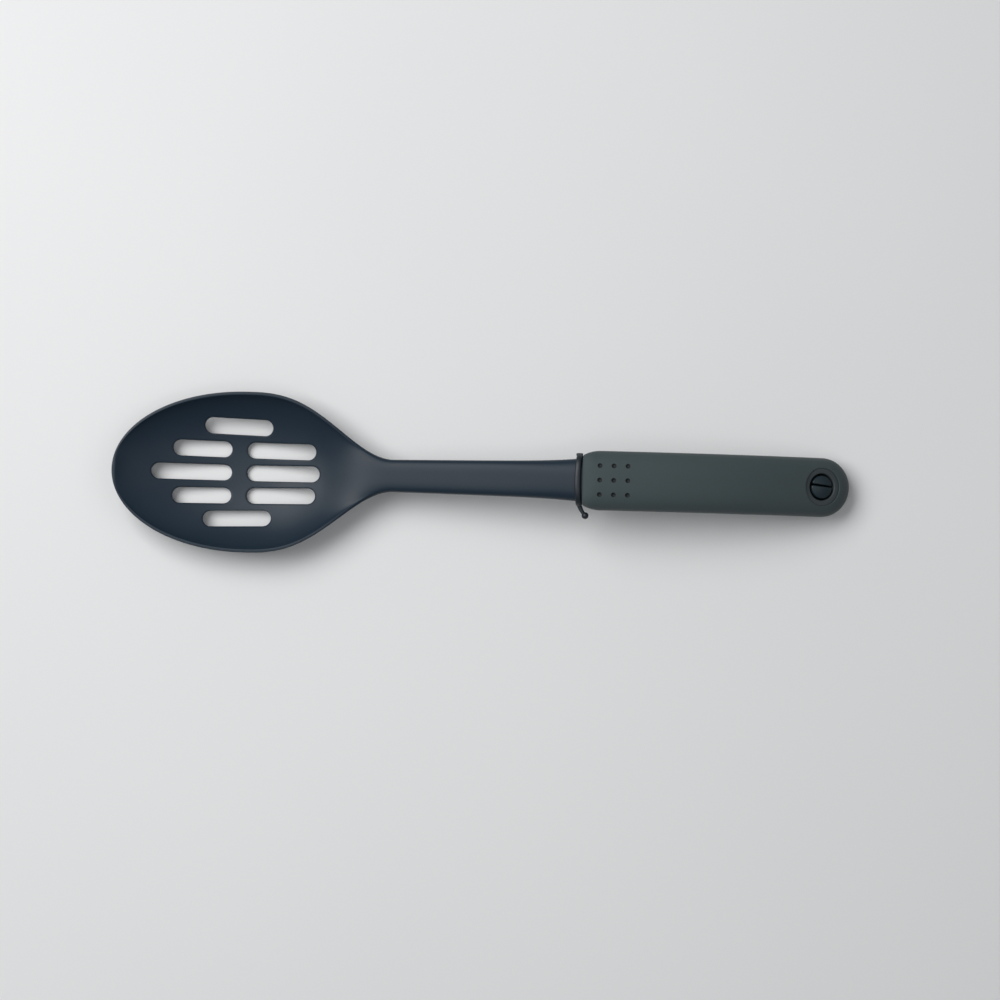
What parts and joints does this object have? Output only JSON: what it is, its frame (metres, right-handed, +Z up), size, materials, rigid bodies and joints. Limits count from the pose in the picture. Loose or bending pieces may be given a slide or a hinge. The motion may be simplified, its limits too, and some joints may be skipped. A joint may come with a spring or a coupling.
{
  "type": "slotted serving spoon",
  "caption": "Slotted nylon serving spoon with a soft-grip arched handle, a plugged hang hole and a sliding tie on its neck.",
  "frame": {"origin": "on the table, under the middle of the spoon's length and width, with the spoon lying on its bowl and the end of its handle", "axes": "+X from the bowl's tip to the handle's end, +Y to the side, +Z up out of the bowl"},
  "size_m": [0.33, 0.0718, 0.0328],
  "materials": {
    "nylon": "satin moulded nylon, dark slate",
    "core_plastic": "plain moulded plastic, hidden",
    "soft_grip": "soft-touch, dead matt, green-grey charcoal",
    "liner_plastic": "fine matt, charcoal",
    "plug_plastic": "glossy near-black",
    "tie_plastic": "glossy near-black"
  },
  "bodies": {
    "spoon": {"spoon_head": "nylon", "handle_core": "core_plastic", "grip_skin": "soft_grip", "hole_liner": "liner_plastic"},
    "plug": {"hang_plug": "plug_plastic"},
    "tie": {"neck_tie": "tie_plastic"}
  },
  "joints": [
    {"name": "plug_turn", "type": "hinge", "parent": "spoon", "child": "plug", "pos_m": [0.14977, 0, 0.00998], "axis": [0.3746, 0, 0.9272], "continuous": true},
    {"name": "tie_slide", "type": "slide", "parent": "spoon", "child": "tie", "axis": [-0.9945, 0, -0.1045], "range_m": [0, 0.07]}
  ]
}
